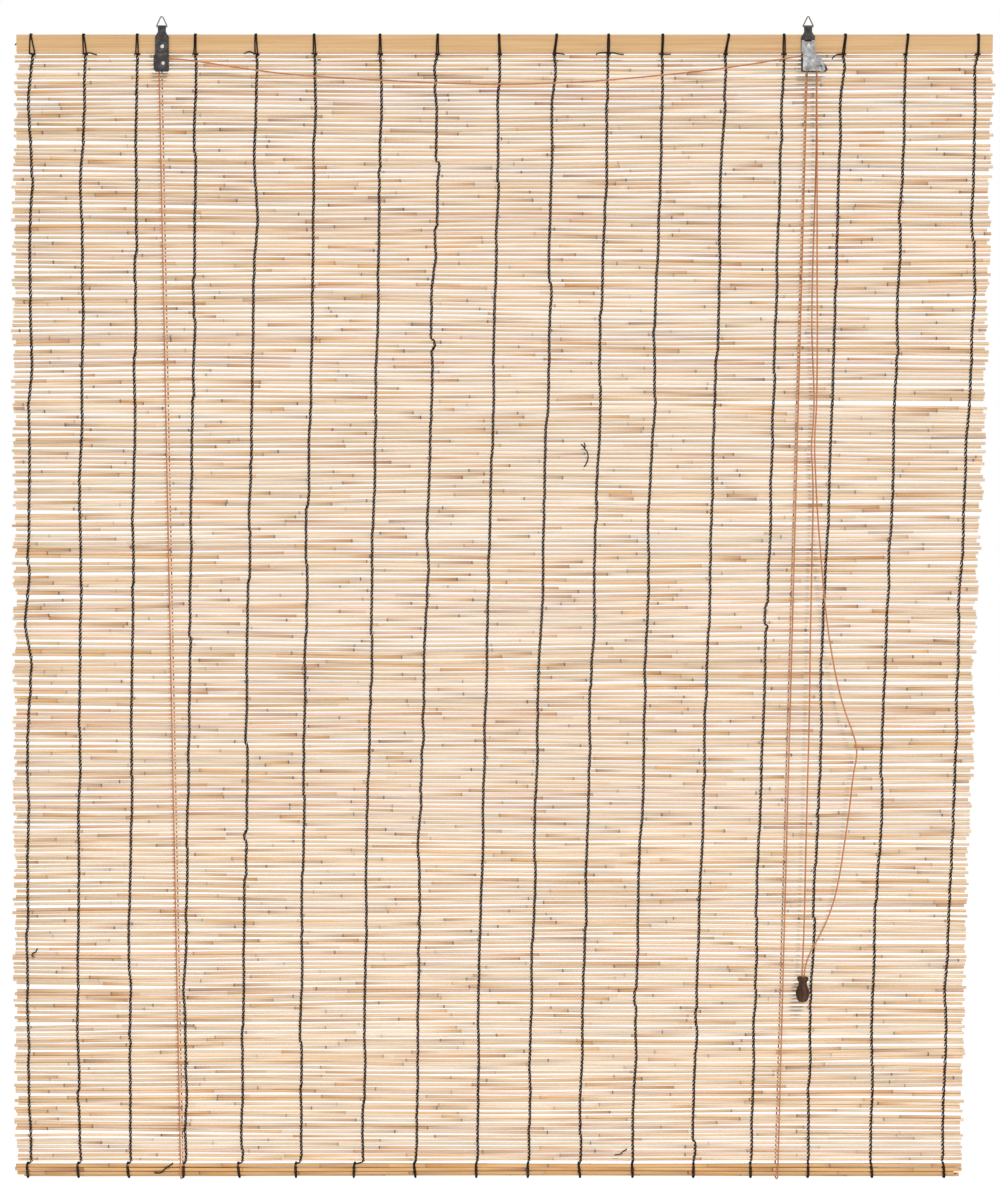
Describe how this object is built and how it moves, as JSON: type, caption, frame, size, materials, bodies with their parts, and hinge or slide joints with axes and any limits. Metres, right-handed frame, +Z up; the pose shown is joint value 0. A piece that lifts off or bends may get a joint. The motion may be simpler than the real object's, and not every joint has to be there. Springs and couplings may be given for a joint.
{
  "type": "reed roll-up blind",
  "caption": "Roll-up window blind of natural reeds held by dark threads under a wooden slat, hung from rings and raised by cords that run through a cord lock to a wooden knob.",
  "frame": {"origin": "midway between the tops of the two hanging rings, in the plane of the mat", "axes": "+Z up, +X to the right as seen from the room, -Y towards the room"},
  "size_m": [1.2285, 0.029, 1.4597],
  "materials": {
    "reed": "dry reed, satin skin",
    "bundle_reed": "darker dry reed, satin skin",
    "slat_wood": "plain planed wood",
    "knob_wood": "dark stained, matt",
    "thread": "twisted cotton thread",
    "cord": "thin braided cord",
    "black_steel": "worn black",
    "galvanised": "mottled zinc coat",
    "bright_steel": "plain steel",
    "pulley_metal": "plain steel"
  },
  "bodies": {
    "head": {"head_slat": "slat_wood", "left_bracket": "black_steel", "right_bracket": "black_steel", "lock_plate": "galvanised", "left_axle": "bright_steel", "lock_axle": "bright_steel", "bracket_nails": "bright_steel", "cord_staples": "bright_steel", "cord_knots": "cord", "slat_thread_loops": "thread", "warp_threads": "thread", "reeds_01": "reed", "left_lift_cord": "cord", "right_lift_cord": "cord", "cross_cord": "cord", "pull_cord_a": "cord", "pull_cord_b": "cord", "pull_knob": "knob_wood", "pull_knot": "cord"},
    "left_ring": {"left_ring": "bright_steel"},
    "right_ring": {"right_ring": "bright_steel"},
    "left_pulley": {"left_pulley": "pulley_metal"},
    "lock_pulley_inner": {"lock_pulley_inner": "pulley_metal"},
    "lock_pulley_outer": {"lock_pulley_outer": "pulley_metal"},
    "lock_roller": {"lock_roller": "galvanised"},
    "band_02": {"reeds_02": "reed"},
    "band_03": {"reeds_03": "reed"},
    "band_04": {"reeds_04": "reed"},
    "band_05": {"reeds_05": "reed"},
    "band_06": {"reeds_06": "reed"},
    "band_07": {"reeds_07": "reed"},
    "band_08": {"reeds_08": "reed"},
    "band_09": {"reeds_09": "reed"},
    "band_10": {"reeds_10": "reed"},
    "band_11": {"reeds_11": "reed"},
    "band_12": {"reeds_12": "reed"},
    "band_13": {"reeds_13": "reed"},
    "band_14": {"reeds_14": "reed"},
    "band_15": {"reeds_15": "reed"},
    "band_16": {"reeds_16": "reed"},
    "band_17": {"reeds_17": "reed"},
    "band_18": {"reeds_18": "reed"},
    "band_19": {"reeds_19": "reed"},
    "band_20": {"reeds_20": "reed"},
    "band_21": {"reeds_21": "reed"},
    "band_22": {"reeds_22": "reed"},
    "band_23": {"reeds_23": "reed"},
    "band_24": {"reeds_24": "reed"},
    "band_25": {"reeds_25": "reed"},
    "band_26": {"reeds_26": "reed"},
    "band_27": {"reeds_27": "reed"},
    "band_28": {"reeds_28": "reed"},
    "band_29": {"reeds_29": "reed"},
    "band_30": {"reeds_30": "reed"},
    "band_31": {"reeds_31": "reed"},
    "bundle": {"bundle_reeds": "bundle_reed", "bundle_thread_loops": "thread"}
  },
  "joints": [
    {"name": "left_ring_swing", "type": "hinge", "parent": "head", "child": "left_ring", "pos_m": [-0.3964, -0.0057, -0.0132], "axis": [1, 0, 0], "range_deg": [-70, 70]},
    {"name": "right_ring_swing", "type": "hinge", "parent": "head", "child": "right_ring", "pos_m": [0.3971, -0.0057, -0.0132], "axis": [1, 0, 0], "range_deg": [-70, 70]},
    {"name": "left_pulley_spin", "type": "hinge", "parent": "head", "child": "left_pulley", "pos_m": [-0.3946, -0.0077, -0.0576], "axis": [0, 1, 0], "continuous": true},
    {"name": "inner_pulley_spin", "type": "hinge", "parent": "head", "child": "lock_pulley_inner", "pos_m": [0.4021, -0.0077, -0.055], "axis": [0, 1, 0], "continuous": true},
    {"name": "outer_pulley_spin", "type": "hinge", "parent": "head", "child": "lock_pulley_outer", "pos_m": [0.4021, -0.0112, -0.055], "axis": [0, 1, 0], "continuous": true},
    {"name": "roller_slide", "type": "slide", "parent": "head", "child": "lock_roller", "axis": [-0.5, 0, 0.866], "range_m": [0, 0.0037]},
    {"name": "roll_up", "type": "hinge", "parent": "head", "child": "band_02", "pos_m": [0, 0, -0.12802], "axis": [1, 0, 0], "range_deg": [0, 30], "deforming": ["warp_threads", "left_lift_cord", "right_lift_cord"]},
    {"name": "curl_03", "type": "hinge", "parent": "band_02", "child": "band_03", "pos_m": [0, 0, -0.21043], "axis": [1, 0, 0], "range_deg": [0, 58.21]},
    {"name": "curl_04", "type": "hinge", "parent": "band_03", "child": "band_04", "pos_m": [0, 0, -0.29283], "axis": [1, 0, 0], "range_deg": [0, 58.76]},
    {"name": "curl_05", "type": "hinge", "parent": "band_04", "child": "band_05", "pos_m": [0, 0, -0.37007], "axis": [1, 0, 0], "range_deg": [0, 59.83]},
    {"name": "curl_06", "type": "hinge", "parent": "band_05", "child": "band_06", "pos_m": [0, 0, -0.44732], "axis": [1, 0, 0], "range_deg": [0, 63.29]},
    {"name": "curl_07", "type": "hinge", "parent": "band_06", "child": "band_07", "pos_m": [0, 0, -0.52458], "axis": [1, 0, 0], "range_deg": [0, 61.66]},
    {"name": "curl_08", "type": "hinge", "parent": "band_07", "child": "band_08", "pos_m": [0, 0, -0.59152], "axis": [1, 0, 0], "range_deg": [0, 60.67]},
    {"name": "curl_09", "type": "hinge", "parent": "band_08", "child": "band_09", "pos_m": [0, 0, -0.65848], "axis": [1, 0, 0], "range_deg": [0, 61.22]},
    {"name": "curl_10", "type": "hinge", "parent": "band_09", "child": "band_10", "pos_m": [0, 0, -0.72027], "axis": [1, 0, 0], "range_deg": [0, 62.5]},
    {"name": "curl_11", "type": "hinge", "parent": "band_10", "child": "band_11", "pos_m": [0, 0, -0.78207], "axis": [1, 0, 0], "range_deg": [0, 59.67]},
    {"name": "curl_12", "type": "hinge", "parent": "band_11", "child": "band_12", "pos_m": [0, 0, -0.83357], "axis": [1, 0, 0], "range_deg": [0, 57.41]},
    {"name": "curl_13", "type": "hinge", "parent": "band_12", "child": "band_13", "pos_m": [0, 0, -0.88507], "axis": [1, 0, 0], "range_deg": [0, 60.85]},
    {"name": "curl_14", "type": "hinge", "parent": "band_13", "child": "band_14", "pos_m": [0, 0, -0.93658], "axis": [1, 0, 0], "range_deg": [0, 56.81]},
    {"name": "curl_15", "type": "hinge", "parent": "band_14", "child": "band_15", "pos_m": [0, 0, -0.97777], "axis": [1, 0, 0], "range_deg": [0, 53.29]},
    {"name": "curl_16", "type": "hinge", "parent": "band_15", "child": "band_16", "pos_m": [0, 0, -1.01897], "axis": [1, 0, 0], "range_deg": [0, 56.15]},
    {"name": "curl_17", "type": "hinge", "parent": "band_16", "child": "band_17", "pos_m": [0, 0, -1.06018], "axis": [1, 0, 0], "range_deg": [0, 54.9]},
    {"name": "curl_18", "type": "hinge", "parent": "band_17", "child": "band_18", "pos_m": [0, 0, -1.09623], "axis": [1, 0, 0], "range_deg": [0, 54.19]},
    {"name": "curl_19", "type": "hinge", "parent": "band_18", "child": "band_19", "pos_m": [0, 0, -1.13227], "axis": [1, 0, 0], "range_deg": [0, 57.47]},
    {"name": "curl_20", "type": "hinge", "parent": "band_19", "child": "band_20", "pos_m": [0, 0, -1.16833], "axis": [1, 0, 0], "range_deg": [0, 50.7]},
    {"name": "curl_21", "type": "hinge", "parent": "band_20", "child": "band_21", "pos_m": [0, 0, -1.19407], "axis": [1, 0, 0], "range_deg": [0, 44.42]},
    {"name": "curl_22", "type": "hinge", "parent": "band_21", "child": "band_22", "pos_m": [0, 0, -1.21982], "axis": [1, 0, 0], "range_deg": [0, 46.34]},
    {"name": "curl_23", "type": "hinge", "parent": "band_22", "child": "band_23", "pos_m": [0, 0, -1.24558], "axis": [1, 0, 0], "range_deg": [0, 48.58]},
    {"name": "curl_24", "type": "hinge", "parent": "band_23", "child": "band_24", "pos_m": [0, 0, -1.27133], "axis": [1, 0, 0], "range_deg": [0, 45.09]},
    {"name": "curl_25", "type": "hinge", "parent": "band_24", "child": "band_25", "pos_m": [0, 0, -1.29192], "axis": [1, 0, 0], "range_deg": [0, 42.02]},
    {"name": "curl_26", "type": "hinge", "parent": "band_25", "child": "band_26", "pos_m": [0, 0, -1.31252], "axis": [1, 0, 0], "range_deg": [0, 43.86]},
    {"name": "curl_27", "type": "hinge", "parent": "band_26", "child": "band_27", "pos_m": [0, 0, -1.33312], "axis": [1, 0, 0], "range_deg": [0, 46.02]},
    {"name": "curl_28", "type": "hinge", "parent": "band_27", "child": "band_28", "pos_m": [0, 0, -1.35373], "axis": [1, 0, 0], "range_deg": [0, 48.58]},
    {"name": "curl_29", "type": "hinge", "parent": "band_28", "child": "band_29", "pos_m": [0, 0, -1.37433], "axis": [1, 0, 0], "range_deg": [0, 51.7]},
    {"name": "curl_30", "type": "hinge", "parent": "band_29", "child": "band_30", "pos_m": [0, 0, -1.39492], "axis": [1, 0, 0], "range_deg": [0, 55.65]},
    {"name": "curl_31", "type": "hinge", "parent": "band_30", "child": "band_31", "pos_m": [0, 0, -1.41552], "axis": [1, 0, 0], "range_deg": [0, 60.91]},
    {"name": "curl_bundle", "type": "hinge", "parent": "band_31", "child": "bundle", "pos_m": [0, 0, -1.43613], "axis": [1, 0, 0], "range_deg": [0, 70.36]}
  ],
  "couplings": [
    {"joint": "curl_03", "follows": "roll_up", "ratio": 1.9404},
    {"joint": "curl_04", "follows": "roll_up", "ratio": 1.9585},
    {"joint": "curl_05", "follows": "roll_up", "ratio": 1.9943},
    {"joint": "curl_06", "follows": "roll_up", "ratio": 2.1096},
    {"joint": "curl_07", "follows": "roll_up", "ratio": 2.0554},
    {"joint": "curl_08", "follows": "roll_up", "ratio": 2.0222},
    {"joint": "curl_09", "follows": "roll_up", "ratio": 2.0408},
    {"joint": "curl_10", "follows": "roll_up", "ratio": 2.0833},
    {"joint": "curl_11", "follows": "roll_up", "ratio": 1.9889},
    {"joint": "curl_12", "follows": "roll_up", "ratio": 1.9138},
    {"joint": "curl_13", "follows": "roll_up", "ratio": 2.0284},
    {"joint": "curl_14", "follows": "roll_up", "ratio": 1.8935},
    {"joint": "curl_15", "follows": "roll_up", "ratio": 1.7764},
    {"joint": "curl_16", "follows": "roll_up", "ratio": 1.8715},
    {"joint": "curl_17", "follows": "roll_up", "ratio": 1.8299},
    {"joint": "curl_18", "follows": "roll_up", "ratio": 1.8064},
    {"joint": "curl_19", "follows": "roll_up", "ratio": 1.9157},
    {"joint": "curl_20", "follows": "roll_up", "ratio": 1.6899},
    {"joint": "curl_21", "follows": "roll_up", "ratio": 1.4806},
    {"joint": "curl_22", "follows": "roll_up", "ratio": 1.5446},
    {"joint": "curl_23", "follows": "roll_up", "ratio": 1.6193},
    {"joint": "curl_24", "follows": "roll_up", "ratio": 1.5031},
    {"joint": "curl_25", "follows": "roll_up", "ratio": 1.4005},
    {"joint": "curl_26", "follows": "roll_up", "ratio": 1.4621},
    {"joint": "curl_27", "follows": "roll_up", "ratio": 1.5339},
    {"joint": "curl_28", "follows": "roll_up", "ratio": 1.6192},
    {"joint": "curl_29", "follows": "roll_up", "ratio": 1.7233},
    {"joint": "curl_30", "follows": "roll_up", "ratio": 1.855},
    {"joint": "curl_31", "follows": "roll_up", "ratio": 2.0304},
    {"joint": "curl_bundle", "follows": "roll_up", "ratio": 2.3454}
  ]
}
